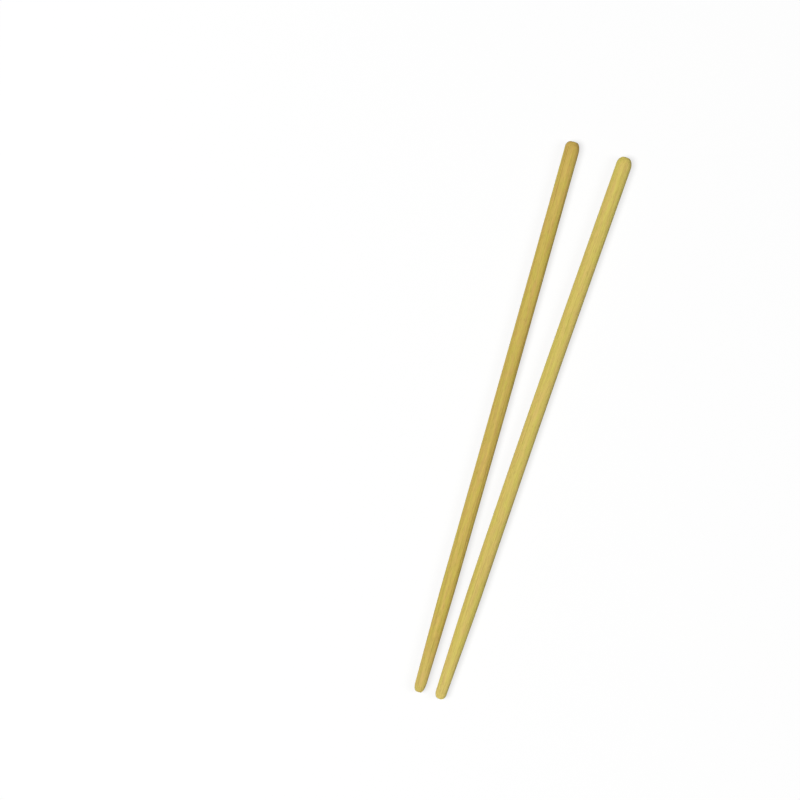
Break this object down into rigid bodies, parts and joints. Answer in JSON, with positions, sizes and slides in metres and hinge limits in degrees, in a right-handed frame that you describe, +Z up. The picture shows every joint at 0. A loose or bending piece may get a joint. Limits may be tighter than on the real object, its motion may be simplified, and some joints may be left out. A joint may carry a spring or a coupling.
{
  "type": "bamboo chopsticks",
  "caption": "Slim round bamboo chopsticks with rounded butt ends and tapered eating ends, lying side by side, for picking up food.",
  "frame": {"origin": "on the table, in the middle of the pair", "axes": "+Y along the pair towards the butt ends, +X to the right across the pair, +Z up"},
  "size_m": [0.0243, 0.2, 0.0054],
  "materials": {
    "left_bamboo": "sanded bare bamboo, fine lengthwise fibres",
    "right_bamboo": "sanded bare bamboo, fine lengthwise fibres, a little paler"
  },
  "bodies": {
    "root": {"left_chopstick": "left_bamboo", "right_chopstick": "right_bamboo"}
  },
  "joints": []
}
